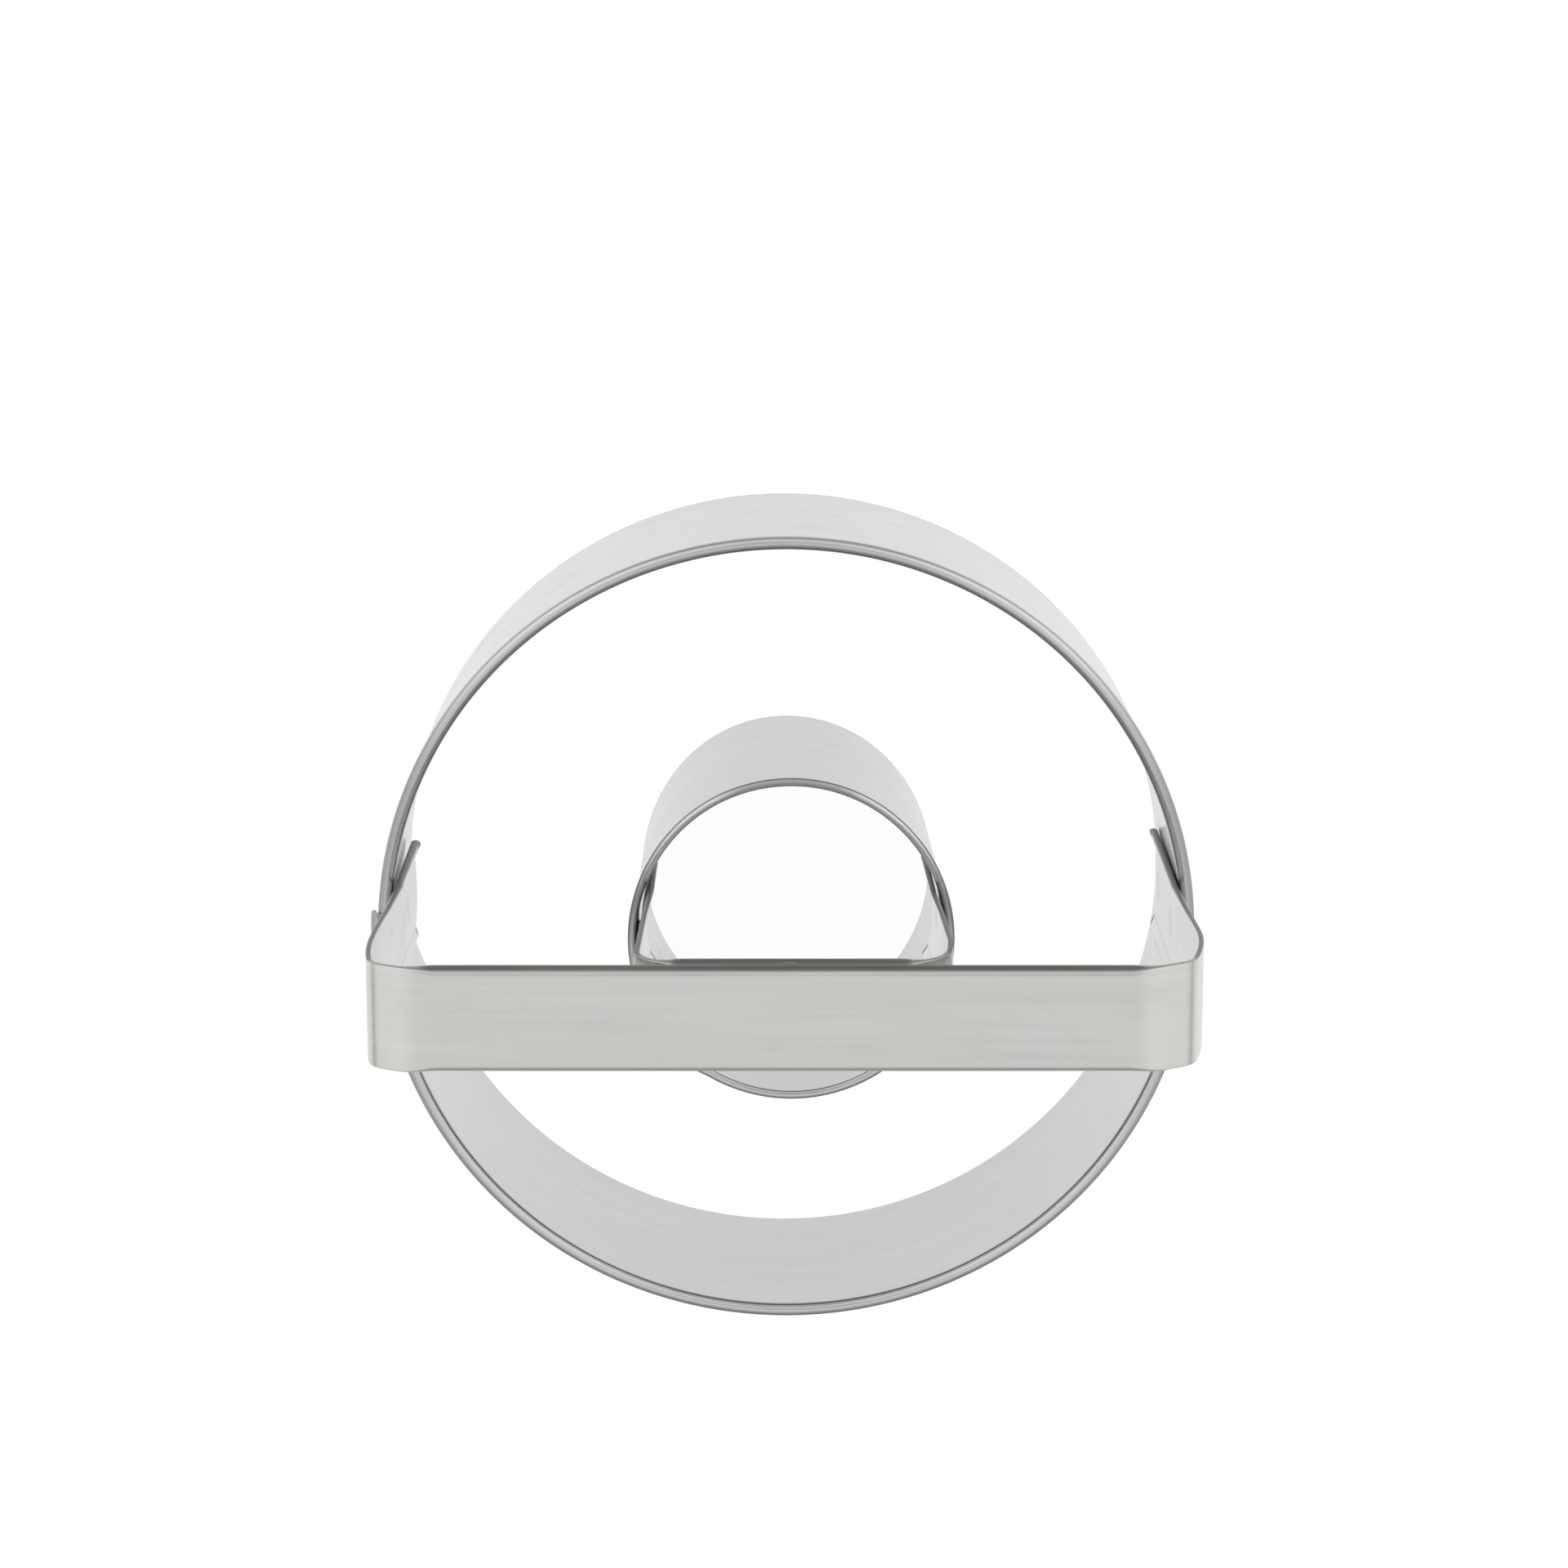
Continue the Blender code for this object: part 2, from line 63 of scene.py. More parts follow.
BRACKET = ({"leg": 10.10, "tilt": 0.00, "cup": (1.05, 1.00), "flat": 1.00, "roll": (0.66, 0.66), "shoulder": (16.45, 48.5),
            "corner": (16.38, 2.0), "bend": (4.00, 75.0, 0.40, 4.00), "opening": (14.2, 11.2)},
           {"leg": 12.60, "tilt": 0.00, "cup": (1.00, 0.90), "flat": 0.85, "roll": (0.62, 0.62), "shoulder": (16.95, 47.0),
            "corner": (16.75, 6.0), "bend": (5.00, 72.0, 0.40, 4.00), "opening": (14.2, 11.2)})
TILT_FROM = 26.5               # height where a tilted leg starts leaving the wall
MM = 0.001


class Seat:
    """Where a ring and what is welded to its wall sit: a little oval at the rim, more so and off it at the edge."""

    def __init__(self, height=1.0, x=0.0, y=0.0, lean=(0.0, 0.0), rim=(0.0, 0.0), edge=(0.0, 0.0)):
        self.height, self.x, self.y, self.lean, self.rim, self.edge = height, x, y, lean, rim, edge

    def settle(self, p):
        z = p[..., 2]
        t = np.maximum(0.0, (self.height - z) / self.height)
        u = 1.0 - smooth(self.height, self.height + 10.0, z)
        out = p.copy()
        for i, mid in enumerate((self.x, self.y)):
            grow = self.rim[i] * u + (self.edge[i] - self.rim[i]) * t
            out[..., i] = mid + (p[..., i] - mid) * (1.0 + grow) + self.lean[i] * t
        return out


OUTER_SEAT = Seat(OUTER_HEIGHT, 0.0, -0.20, (-0.28, 0.20), (0.004, 0.0), (-0.007, 0.0))
HOLE_SEAT = Seat(HOLE_HEIGHT, 0.55, -0.30, (-0.45, 0.01), (-0.013, 0.012), (-0.056, 0.026))

# welds: side in degrees, height, radius of the electrode's mark
OUTER_SPOTS = [(180.0, OUTER_HEIGHT - 5.0), (180.0, OUTER_HEIGHT - 9.0),
               (0.0, OUTER_HEIGHT - 5.0), (0.0, OUTER_HEIGHT - 18.0)]
OUTER_SEAM_SPOTS = [(183.75, 20.0), (183.75, 6.5)]
HOLE_SPOTS = [(180.0, HOLE_HEIGHT - BRACKET[0]["leg"] / 2), (0.0, HOLE_HEIGHT - BRACKET[1]["leg"] / 2)]
HOLE_SEAM_SPOTS = [(210.0, 21.0), (210.0, 7.0)]


def smooth(a, b, x):
    t = np.clip((x - a) / (b - a), 0.0, 1.0)
    return t * t * (3 - 2 * t)


def ripple(a, b, seed, waves):
    """Smooth hand-made unevenness of a strip, -1 to 1: a is the way along in turns, b the way across, 0 to 1."""
    rng = np.random.default_rng(seed)
    total = np.zeros(np.broadcast(a, b).shape)
    for k in waves:
        p, q, s = rng.uniform(0, 2 * math.pi, 3)
        total = total + np.sin(2 * math.pi * k * a + p) * (0.6 + 0.4 * np.sin(2.2 * b + q)) * (0.7 + 0.3 * math.sin(s))
    return total / len(waves)


# ---- sheet metal as a solid between two matched surfaces ----------------------------------------------------
def sheet_solid(name, front, back, cells, strip, heat, shade_and_smudge, inward, seat, behind=None, bevel=0.05, sharp=38.0):
    """Solid between the grids front and back, in mm, both [stations, across, 3]; cells says which squares exist.

    strip holds for each grid point the way along and across the flat strip, in mm; heat is 0 to 1 near a weld and
    shade_and_smudge is 0 to 1 where the surface is painted dark: painted shade and reflection along rolled edges and
    beside legs, and darker cut ends; inward is 1 where the front is turned in.
    behind is the back's painted shade where it differs.
    """
    s_count, k_count = front.shape[:2]
    idx = np.arange(s_count * k_count).reshape(s_count, k_count)
    shift = s_count * k_count
    a, b, c, d = idx[:-1, :-1], idx[:-1, 1:], idx[1:, 1:], idx[1:, :-1]
    quads = np.stack([a, b, c, d], -1)[cells]
    faces = [quads, quads[:, ::-1] + shift]
    pad = np.zeros((s_count + 1, k_count + 1), bool)
    pad[1:-1, 1:-1] = cells
    for s in range(s_count):                                  # edges across the strip
        below, above = pad[s, 1:-1], pad[s + 1, 1:-1]
        for k in np.nonzero(below != above)[0]:
            p, q = idx[s, k], idx[s, k + 1]
            wall = (p, p + shift, q + shift, q) if above[k] else (q, q + shift, p + shift, p)
            faces.append(np.array([wall]))
    for k in range(k_count):                                  # edges along the strip
        before, after = pad[1:-1, k], pad[1:-1, k + 1]
        rows = np.nonzero(before != after)[0]
        p, q = idx[rows, k], idx[rows + 1, k]
        wall = np.stack([p, p + shift, q + shift, q], -1)
        flip = after[rows]
        wall[flip] = wall[flip][:, ::-1]
        faces.append(wall)
    faces = np.concatenate(faces)
    points = np.concatenate([front.reshape(-1, 3), back.reshape(-1, 3)])
    points = seat.settle(points) * MM
    used, inverse = np.unique(faces, return_inverse=True)
    points = points[used]
    faces = inverse.reshape(faces.shape)

    tri = np.concatenate([faces[:, [0, 1, 2]], faces[:, [0, 2, 3]]])
    v = points[tri]
    if np.einsum("ij,ij->i", v[:, 0], np.cross(v[:, 1], v[:, 2])).sum() < 0:
        faces = faces[:, ::-1]
    mesh = bpy.data.meshes.new(name)
    mesh.from_pydata(points.tolist(), [], faces.tolist())
    mesh.validate()
    both = np.concatenate([strip.reshape(-1, 2)] * 2)[used]
    side = np.concatenate([inward.ravel(), np.ones(shift)])[used]
    layer = mesh.attributes.new("strip", "FLOAT_VECTOR", "POINT")
    layer.data.foreach_set("vector", np.column_stack([both * MM, side]).astype(np.float32).ravel())
    for label, values, other in (("heat", heat, heat), ("shade_and_smudge", shade_and_smudge, shade_and_smudge if behind is None else behind)):
        layer = mesh.attributes.new(label, "FLOAT", "POINT")
        layer.data.foreach_set("value", np.concatenate([values.ravel(), other.ravel()])[used].astype(np.float32))
    mesh.shade_smooth()
    mesh.set_sharp_from_angle(angle=math.radians(sharp))
    ob = bpy.data.objects.new(name, mesh)
    bpy.context.scene.collection.objects.link(ob)
    if bevel:
        mod = ob.modifiers.new("edges", "BEVEL")
        mod.width = bevel * MM
        mod.segments = 2
        mod.limit_method = "ANGLE"
        mod.angle_limit = math.radians(sharp + 8)
        mod.harden_normals = True
    return ob


# ---- rings --------------------------------------------------------------------------------------------------
def ring_section(height, roll, sheet, rows, turns, lip=-55.0):
    """Matched front and back of a ring's section as (offset, z), and the way across the flat strip."""
    r = roll / 2
    zc = height - r
    z = np.linspace(0.0, zc, rows)
    arc = np.radians(np.linspace(180.0, lip, turns + 1))[1:]
    front = np.concatenate([np.column_stack([np.zeros(rows), z]),
                            np.column_stack([r + r * np.cos(arc), zc + r * np.sin(arc)])])
    back = np.concatenate([np.column_stack([np.full(rows, sheet), z]),
                           np.column_stack([r + (r - sheet) * np.cos(arc), zc + (r - sheet) * np.sin(arc)])])
    across = np.concatenate([z, zc + (math.pi - arc) * (r - sheet / 2)])
    return front, back, across, rows - 1


def ring(name, radius, height, roll, sheet, lap, facet, fine, seat, spots, seam_spots, mark, legs, fade, seed):
    """Strip rolled into a ring; the outer end laps over the inner end, whose rim roll is cut away."""
    front, back, across, top_row = ring_section(height, roll, sheet, fine[0], fine[1])
    flat_to = lap[1] + 2.0
    blend_to = flat_to + 2.9 * facet
    main_end = lap[0] + 360.0 - math.degrees(CUT_GAP / radius)
    tongue_end = lap[1] + 360.0
    angles = list(np.arange(lap[0], main_end - 0.3 * fine[2], fine[2]))
    for deg, _ in spots:                                     # closer stations at the weld marks
        for turn in (0.0, 360.0):
            mid = deg + turn
            half = math.degrees(1.35 * mark / radius)
            angles += [x for x in np.linspace(mid - half, mid + half, 13) if lap[0] + 0.05 < x < main_end - 0.05]
    angles = sorted(set(np.round(angles, 4)))
    kept = [angles[0]]
    for x in angles[1:]:
        if x - kept[-1] > 0.12 * fine[2]:
            kept.append(x)
    angles = kept + [main_end]
    main = len(angles)
    steps = max(6, int((tongue_end - main_end) / (0.6 * fine[2])))
    angles = np.array(angles + list(np.linspace(main_end, tongue_end, steps + 1)[1:]))

    shift = (sheet + LAP_GAP) * (1.0 - smooth(flat_to, blend_to, angles))
    shift[main:] = 0.0
    a = angles[:, None]
    wave = 0.035 * ripple(a / 360.0, across[None, :] / height, seed, (2, 3, 5, 7))
    wave = wave * smooth(0.0, 4.0, angles - lap[0])[:, None]
    heat = np.zeros((len(angles), len(across)))
    dent = np.zeros_like(heat)
    for group, depth in ((spots, 0.10), (seam_spots, 0.08)):
        for deg, z0 in group:
            gap = (a - deg + 180.0) % 360.0 - 180.0
            dist = np.sqrt((np.radians(gap) * radius) ** 2 + (across[None, :] - z0) ** 2) / mark
            dent = dent + depth * (1.0 - smooth(0.72, 1.05, dist)) - 0.02 * np.exp(-((dist - 1.15) / 0.12) ** 2)
            heat = np.maximum(heat, 1.0 - smooth(0.8, 2.1, dist))
    layers = []
    for curve in (front, back):
        rad = radius + curve[None, :, 0] + shift[:, None] + wave - dent
        t = np.radians(a)
        layers.append(np.stack([seat.x + rad * np.cos(t), seat.y + rad * np.sin(t),
                                np.broadcast_to(curve[None, :, 1], rad.shape)], -1))
    cells = np.ones((len(angles) - 1, len(across) - 1), bool)
    cells[main - 1:, top_row:] = False
    along = np.radians(angles - lap[0]) * radius
    strip = np.stack(np.broadcast_arrays(along[:, None], across[None, :]), -1).copy()
    turned = (across - across[top_row]) / (roll / 2 - sheet / 2)       # radians round the rolled rim
    # painted shade and reflection round the rolled rim, set by the way round: the inner side of the roll dark towards
    # +Y, its top dark only near +Y, its outer half dark at the sides and towards -Y
    rise = np.sin(np.radians(a))
    first = (0.55 * smooth(-0.35, 0.15, turned) + 0.45 * smooth(0.3, 0.8, turned)) * (1.0 - smooth(*fade[:2], turned))
    over = smooth(0.3, 0.8, turned) * (1.0 - smooth(*fade[2:], turned))
    outside = smooth(1.5, 1.85, turned)
    shade_and_smudge = (first[None, :] * smooth(-0.9, 0.3, rise) + over[None, :] * 0.9 * smooth(0.88, 0.97, rise)
            + outside[None, :] * (1.0 - smooth(0.3, 0.8, rise)))
    shade_and_smudge = np.minimum(shade_and_smudge, 1.0)
    behind = shade_and_smudge
    for deg, depth in legs:                                            # painted shade on the wall in the crevice beside a leg
        gap = np.radians(np.abs((a - deg + 180.0) % 360.0 - 180.0)) * radius
        z = across[None, :]
        leg_shade = (1.0 - smooth(6.0, 7.6, gap)) * smooth(height - depth - 0.5, height - depth + 1.0, z)
        shade_and_smudge = np.maximum(shade_and_smudge, 0.75 * leg_shade * (1.0 - smooth(height - roll, height - 0.6 * roll, z)))
    # the strip's cut ends are darker near the rim, on both faces
    start, stop = along[:, None], (math.radians(main_end - lap[0]) * radius - along)[:, None]
    cut = np.maximum(1.0 - smooth(0.4, 1.3, start), 1.0 - smooth(0.3, 0.9, np.abs(stop)))
    ends = 0.9 * cut * smooth(height - 1.6 * roll, height - roll, across[None, :])
    shade_and_smudge, behind = np.maximum(shade_and_smudge, ends), np.maximum(behind, ends)
    return sheet_solid(name, layers[0], layers[1], cells, strip, heat, shade_and_smudge, np.zeros_like(heat), seat, behind)


# ---- straps -------------------------------------------------------------------------------------------------
def rolled_edge(roll, sheet, half, turn_steps, leaf_steps):
    """Matched front and back of one rolled edge as (depth, y), the way across, turns, and how far it is pressed."""
    r = roll / 2
    pressed = min(1.0, (BAR_ROLL - roll) / (BAR_ROLL - LEG_ROLL))            # a hem's free edge lies down on the sheet
    wide = r * (1.0 - 0.4 * pressed)                                         # and its fold is flatter than round
    hollow = max(wide - sheet, 0.02)
    yc = half - wide
    leaf = LEG_LEAF + (BAR_LEAF - LEG_LEAF) * max(0.0, roll - LEG_ROLL) / (BAR_ROLL - LEG_ROLL)
    arc = np.linspace(0.0, math.pi, turn_steps + 1)[1:]
    leaf_y = np.linspace(yc, yc - leaf, leaf_steps + 1)[1:]
    down = [pressed * float(smooth(0.1, 1.0, i / leaf_steps)) for i in range(1, leaf_steps + 1)]
    front = [(r - r * math.cos(t), yc + wide * math.sin(t)) for t in arc]
    front += [(2 * r - (2 * r - sheet - 0.02) * k, v) for v, k in zip(leaf_y, down)]
    back = [(r - (r - sheet) * math.cos(t), yc + hollow * math.sin(t)) for t in arc]
    back += [(2 * r - sheet - (2 * r - 2 * sheet - 0.005) * k, v) for v, k in zip(leaf_y, down)]
    w = [yc + t * (r - sheet / 2) for t in arc]
    w += [w[-1] + (yc - v) for v in leaf_y]
    return front, back, w, arc, pressed, yc


def strap_section(roll, low, painted, sheet=STRAP_SHEET, half=STRAP_HALF, turn_steps=14, leaf_steps=6, face_steps=26):
    """Matched front and back of a strap's section as (depth, y), with the way across the flat strip.

    roll and low are the sizes of the +Y and -Y edges; painted says between which turns of the rolled edge, in
    radians, the painted shade on its +Y side starts.
    """
    front_up, back_up, w_up, arc, pressed, top_y = rolled_edge(roll, sheet, half, turn_steps, leaf_steps)
    front_low, back_low, w_low, _, pressed_low, low_y = rolled_edge(low, sheet, half, turn_steps, leaf_steps)
    y = -low_y + (top_y + low_y) * np.linspace(0.0, 1.0, face_steps + 1)
    front = [(d, -v) for d, v in front_low[::-1]] + [(0.0, v) for v in y] + front_up
    back = [(d, -v) for d, v in back_low[::-1]] + [(sheet, v) for v in y] + back_up
    across = [-w for w in w_low[::-1]] + list(y) + w_up
    # painted shade and reflection on the +Y rolled edge; the -Y edge is left unpainted
    side_up = [float(smooth(*painted, t) * (1.0 - smooth(2.2, 2.9, t))) for t in arc] + [0.0] * leaf_steps
    shade_and_smudge = [0.0] * (len(side_up) + len(y)) + side_up
    turned_in = [float(smooth(1.7, 2.4, t)) for t in arc] + [1.0] * leaf_steps
    inward = [pressed_low * v for v in turned_in[::-1]] + [0.0] * len(y) + [pressed * v for v in turned_in]
    return np.array(front), np.array(back), np.array(across), np.array(shade_and_smudge), np.array(inward)


def bend_path(x0, lean_in, top, bend, step):
    """Outer face of a bend, leg side first, as rows of x, z and degrees of the outward normal from +X."""
    tight, turn, run, easy = bend
    a, first = math.radians(turn), math.radians(lean_in)
    z0 = top - tight * (math.sin(a) - math.sin(first)) - run * math.cos(a) - easy * (1.0 - math.sin(a))
    rows = []
    n = max(4, round((turn - lean_in) / step))
    for i in range(n + 1):
        b = first + (a - first) * i / n
        rows.append((x0 - tight * (math.cos(first) - math.cos(b)), z0 + tight * (math.sin(b) - math.sin(first)),
                     math.degrees(b)))
    x, z = rows[-1][0], rows[-1][1]
    for f in (0.25, 0.5, 0.75, 1.0):
        rows.append((x - run * f * math.sin(a), z + run * f * math.cos(a), turn))
    x, z = rows[-1][0], rows[-1][1]
    n = max(4, round((90.0 - turn) / step))
    for i in range(1, n + 1):
        b = a + (math.pi / 2 - a) * i / n
        rows.append((x - easy * (math.cos(a) - math.cos(b)), z + easy * (math.sin(b) - math.sin(a)), math.degrees(b)))
    return rows


def lean_path(start, shoulder, corner, slope_in, steps):
    """From the rim straight to the shoulder, then curving in to the corner, as rows of x, z and slope dx/dz."""
    slope = (shoulder[0] - start[0]) / (shoulder[1] - start[1])
    rows = [(start[0] + (shoulder[0] - start[0]) * i / steps[0], start[1] + (shoulder[1] - start[1]) * i / steps[0],
             slope) for i in range(1, steps[0] + 1)]
    rise = corner[1] - shoulder[1]
    for i in range(1, steps[1]):
        t = i / steps[1]
        h = (2 * t ** 3 - 3 * t ** 2 + 1, t ** 3 - 2 * t ** 2 + t, -2 * t ** 3 + 3 * t ** 2, t ** 3 - t ** 2)
        d = (6 * t ** 2 - 6 * t, 3 * t ** 2 - 4 * t + 1, -6 * t ** 2 + 6 * t, 3 * t ** 2 - 2 * t)
        c = (shoulder[0], slope * rise, corner[0], slope_in * rise)
        rows.append((sum(u * v for u, v in zip(h, c)), shoulder[1] + rise * t,
                     sum(u * v for u, v in zip(d, c)) / rise))
    return rows


def strap(name, spec, top, rim, wall_radius, seat, spots, mark, seed, painted):
    inside = wall_radius - WALL_GAP

    def side(sign, part):
        opening, cup, roll = part["opening"], part["cup"], part["roll"]
        path = bend_path(part["corner"][0], part["corner"][1], top, part["bend"], 5.0)
        corner = path[0]
        z_end, z_lean = rim - part["leg"], rim + 0.6
        n = max(8, int((z_lean - z_end) / 0.42))
        rows = []
        for z in np.linspace(z_end, z_lean, n + 1):
            off = part["tilt"] * max(0.0, TILT_FROM - z) / (TILT_FROM - z_end)
            t = (z - z_end) / (z_lean - z_end)
            rows.append((sign * (inside - off), z, -sign, 0.0, roll[0] + (roll[1] - roll[0]) * t,
                         cup[0] + (cup[1] - cup[0]) * t, 1.0))
        leaning = lean_path((inside, z_lean), part["shoulder"], corner, -math.tan(math.radians(part["corner"][1])),
                            (14, 9))
        for x, z, slope in leaning:
            t = (z - z_lean) / (corner[1] - z_lean)
            a = math.atan(slope)
            rows.append((sign * x, z, -sign * math.cos(a), math.sin(a),
                         roll[1] + (BEND_ROLL - roll[1]) * min(1.0, 2.0 * t), cup[1] * max(0.0, 1.0 - t / part["flat"]),
                         1.0))
        for x, z, deg in path:
            a = math.radians(deg)
            size = BEND_ROLL + (BAR_ROLL - BEND_ROLL) * float(smooth(-opening[0], -opening[1], -x))
            # the painted edge shade is weaker round the bend, back to full where the rolled edge grows
            bend_shade_share = max(1.0 - 0.55 * float(smooth(10.0, 40.0, deg)), float(smooth(1.0, 1.8, size)))
            rows.append((sign * x, z, -sign * math.cos(a), -math.sin(a), size, 0.0, bend_shade_share))
        # where the easy bend ends before the rolled edge has opened
        x = path[-1][0]
        while x > opening[1] + 0.3:
            x = max(opening[1], x - 0.7)
            size = BEND_ROLL + (BAR_ROLL - BEND_ROLL) * float(smooth(-opening[0], -opening[1], -x))
            rows.append((sign * x, top, 0.0, -1.0, size, 0.0, max(0.45, float(smooth(1.0, 1.8, size)))))
        return rows, x

    left, first = side(-1.0, spec[0])
    right, last = side(1.0, spec[1])
    n = max(6, int((first + last) / 1.6))
    bar = [(x, top, 0.0, -1.0, BAR_ROLL, 0.0, 1.0) for x in np.linspace(-first, last, n + 1)[1:-1]]
    rows = left + bar + right[::-1]
    centre = np.array([(r[0], r[1]) for r in rows])
    along = np.concatenate([[0.0], np.cumsum(np.hypot(*np.diff(centre, axis=0).T))])
    follow = inside
    front, back, strips, heats, dulls, inwards = [], [], [], [], [], []
    total = along[-1]
    for i, (x, z, nx, nz, roll, share, bend_shade_share) in enumerate(rows):
        low = roll if roll > 1.4 or abs(nz) > 0.3 else min(roll, LOW_ROLL)
        f, b, across, shade_and_smudge, inward = strap_section(roll, low, painted)
        tip = rim - spec[0 if x < 0 else 1]["leg"]                # painted shade: the edges near a leg's end are painted dark too
        shade_and_smudge = np.maximum(shade_and_smudge * bend_shade_share, np.where(np.abs(across) > STRAP_HALF - 0.2, float(z < tip + 0.5), 0.0))
        shade_and_smudge = np.maximum(shade_and_smudge, np.where(across > STRAP_HALF - 0.5, 1.0 - float(smooth(tip + 1.2, tip + 3.2, z)), 0.0))
        wave = 0.03 * ripple(np.array(along[i] / total), across / 12.0, seed, (2, 3, 5, 8))
        heat = np.zeros(len(across))
        dent = np.zeros(len(across))
        if abs(nz) < 1e-9:                                       # on the leg
            for deg, z0 in spots:
                if (deg == 0.0) == (x > 0):
                    y0 = seat.y / 2
                    face_y = np.where(np.abs(across) < STRAP_HALF, across, 99.0)
                    dist = np.sqrt((face_y - y0) ** 2 + (z - z0) ** 2) / mark
                    dent += 0.11 * (1.0 - smooth(0.72, 1.05, dist)) - 0.02 * np.exp(-((dist - 1.15) / 0.12) ** 2)
                    heat = np.maximum(heat, 1.0 - smooth(0.8, 2.1, dist))
        for curve, out in ((f, front), (b, back)):
            off = curve[:, 1] - seat.y
            depth = curve[:, 0] + share * (follow - np.sqrt(follow * follow - off * off)) + wave * max(0.0, 1 - share) - dent
            out.append(np.column_stack([seat.x + x + nx * depth, curve[:, 1], z + nz * depth]))
        strips.append(np.column_stack([np.full(len(across), along[i]), across]))
        heats.append(heat)
        dulls.append(shade_and_smudge)
        inwards.append(inward)
    front, back, strips, heats = np.array(front), np.array(back), np.array(strips), np.array(heats)
    cells = np.ones((len(rows) - 1, front.shape[1] - 1), bool)
    return sheet_solid(name, front, back, cells, strips, heats, np.array(dulls), np.array(inwards), seat)


# ---- weld beads ---------------------------------------------------------------------------------------------
def weld_bead(name, sign, seed):
    """Small uneven tack in the groove between the rolled edges of the two bars."""
    r = BAR_ROLL / 2
    yc = STRAP_HALF - r
    z_mid = TOP - BAR_ROLL - STACK_GAP / 2
    n, m = 40, 24
    grid = []
    for i in range(n + 1):
        u = i / n
        x = 2.7 * (u - 0.5)
        body = math.sin(math.pi * u) ** 0.35 if 0 < u < 1 else 0.0
        lump = 1.0 + 0.10 * math.sin(9.0 * u + seed) + 0.06 * math.sin(23.0 * u + 2 * seed)
        row = []
        for j in range(m):
            t = 2 * math.pi * j / m
            up = 0.46 + 0.52 * body * lump * max(0.0, math.cos(t)) - 0.10 * max(0.0, -math.cos(t))
            up = min(up, 0.97)
            limit = STACK_GAP / 2 + r - math.sqrt(max(0.0, r * r - up * up)) - 0.005
            wide = limit * math.sin(t) * (0.35 + 0.65 * body)
            bump = 0.02 * noise.noise((x * 2.1 + seed, 3.0 * math.cos(t), 3.0 * math.sin(t)))
            row.append((x + 0.05 * math.sin(3 * t + seed) * body, sign * (yc + up + bump), z_mid + wide))
        grid.append(row)
    points = [p for row in grid for p in row]
    faces = []
    for i in range(n):
        for j in range(m):
            k = (j + 1) % m
            faces.append((i * m + j, i * m + k, (i + 1) * m + k, (i + 1) * m + j))
    faces.append(tuple(range(m))[::-1])
    faces.append(tuple(n * m + j for j in range(m)))
    mesh = bpy.data.meshes.new(name)
    mesh.from_pydata([[c * MM for c in p] for p in points], [], faces)
    mesh.validate()
    import bmesh
    bm = bmesh.new()
    bm.from_mesh(mesh)
    bmesh.ops.recalc_face_normals(bm, faces=bm.faces[:])
    if bm.calc_volume(signed=True) < 0:
        bmesh.ops.reverse_faces(bm, faces=bm.faces[:])
    bm.to_mesh(mesh)
    bm.free()
    mesh.shade_smooth()
    ob = bpy.data.objects.new(name, mesh)
    bpy.context.scene.collection.objects.link(ob)
    return ob


# ---- materials ----------------------------------------------------------------------------------------------
class Tree:
    """Short way to add and join shader nodes."""

    def __init__(self, tree):
        self.tree = tree

    def add(self, kind, **values):
        node = self.tree.nodes.new(kind)
        for key, value in values.items():
            if hasattr(node, key):
                setattr(node, key, value)
            else:
                node.inputs[key.replace("_", " ")].default_value = value
        return node

    def join(self, a, b):
        self.tree.links.new(a, b)
        return b.node

    def math(self, op, a, b=None, clamp=False):
        node = self.tree.nodes.new("ShaderNodeMath")
        node.operation = op
        node.use_clamp = clamp
        for i, value in enumerate((a, b)):
            if value is None:
                continue
            if isinstance(value, (int, float)):
                node.inputs[i].default_value = value
            else:
                self.tree.links.new(value, node.inputs[i])
        return node.outputs[0]

    def mix(self, factor, a, b, blend="MIX"):
        node = self.tree.nodes.new("ShaderNodeMix")
        node.data_type = "RGBA"
        node.blend_type = blend
        if isinstance(factor, (int, float)):
            node.inputs[0].default_value = factor
        else:
            self.tree.links.new(factor, node.inputs[0])
        for socket, value in ((node.inputs[6], a), (node.inputs[7], b)):
            if isinstance(value, (tuple, list)):
                socket.default_value = (*value[:3], 1.0)
            else:
                self.tree.links.new(value, socket)
        return node.outputs[2]

    def span(self, value, a, b, low, high):
        node = self.tree.nodes.new("ShaderNodeMapRange")
        node.clamp = True
        self.tree.links.new(value, node.inputs[0])
        for i, v in enumerate((a, b, low, high), start=1):
            node.inputs[i].default_value = v
        return node.outputs[0]

    def streaks(self, vector, along, across, detail=3.0, seed=0.0):
        """Noise drawn out along the strip; along and across are features per metre."""
        scale = self.tree.nodes.new("ShaderNodeVectorMath")
        scale.operation = "MULTIPLY"
        scale.inputs[1].default_value = (along, across, 3.7)
        self.tree.links.new(vector, scale.inputs[0])
        move = self.tree.nodes.new("ShaderNodeVectorMath")
        move.operation = "ADD"
        move.inputs[1].default_value = (seed, seed * 1.7, seed * 0.3)
        self.tree.links.new(scale.outputs[0], move.inputs[0])
        tex = self.tree.nodes.new("ShaderNodeTexNoise")
        tex.inputs["Scale"].default_value = 1.0
        tex.inputs["Detail"].default_value = detail
        tex.inputs["Roughness"].default_value = 0.55
        self.tree.links.new(move.outputs[0], tex.inputs["Vector"])
        return tex.outputs["Fac"]


